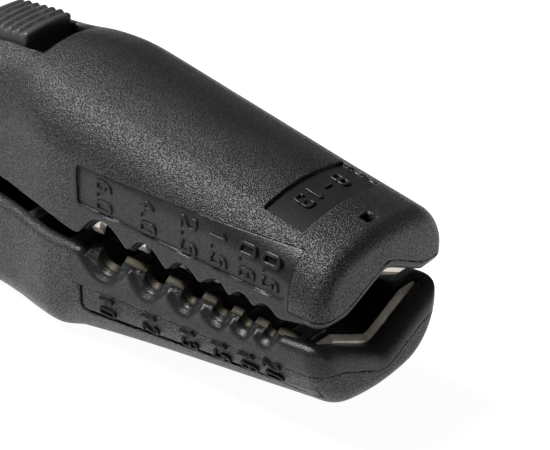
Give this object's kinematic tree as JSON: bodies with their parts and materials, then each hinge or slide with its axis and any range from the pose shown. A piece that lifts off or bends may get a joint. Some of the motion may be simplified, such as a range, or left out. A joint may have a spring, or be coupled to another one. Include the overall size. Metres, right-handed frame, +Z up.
{
  "type": "cable and wire stripper",
  "caption": "Pincer-type stripper: two black halves hinged at the tail, mouth blades for round cable, notched side blades for wires, thumb lock.",
  "frame": {"origin": "centre of the tool's bounding box in X and Y, on the plane its flat underside rests on", "axes": "+X along the tool towards the nose, +Y across the jaws away from the numbered side (along the hinge pin), +Z up"},
  "size_m": [0.132, 0.034, 0.0548],
  "materials": {
    "black_plastic": "fine spark-eroded grain",
    "lock_plastic": "fine grain",
    "blade_steel": "ground",
    "pin_steel": "turned",
    "spring_steel": "drawn wire"
  },
  "bodies": {
    "lower_half": {"lower_cover": "black_plastic", "lower_jaw_insert": "black_plastic", "lower_wire_blade": "blade_steel", "lower_sheath_blade": "blade_steel", "lower_wire_blade_pin_rear": "pin_steel", "lower_wire_blade_pin_front": "pin_steel", "lower_sheath_blade_pin_near": "pin_steel", "lower_sheath_blade_pin_far": "pin_steel", "lower_insert_screw_rear": "pin_steel", "lower_insert_screw_front": "pin_steel", "catch_pin": "pin_steel", "hinge_pin": "pin_steel", "hinge_clip": "pin_steel", "return_spring": "spring_steel"},
    "upper_half": {"upper_cover": "black_plastic", "upper_jaw_insert": "black_plastic", "upper_wire_blade": "blade_steel", "upper_sheath_blade": "blade_steel", "upper_wire_blade_pin_rear": "pin_steel", "upper_wire_blade_pin_front": "pin_steel", "upper_sheath_blade_pin_near": "pin_steel", "upper_sheath_blade_pin_far": "pin_steel", "upper_insert_screw_rear": "pin_steel", "upper_insert_screw_front": "pin_steel", "lock_detent_spring": "spring_steel", "detent_spring_screw": "pin_steel"},
    "lock": {"lock_slider": "lock_plastic", "lock_retainer": "pin_steel"}
  },
  "joints": [
    {"name": "jaw_hinge", "type": "hinge", "parent": "lower_half", "child": "upper_half", "pos_m": [-0.058, 0, 0.0256], "axis": [0, -1, 0], "range_deg": [-1.6, 8], "stiffness_Nm_per_rad": 0.6, "springref_deg": 3.19, "deforming": ["return_spring"]},
    {"name": "lock_slide", "type": "slide", "parent": "upper_half", "child": "lock", "axis": [1, 0, 0], "range_m": [0, 0.0045]}
  ]
}
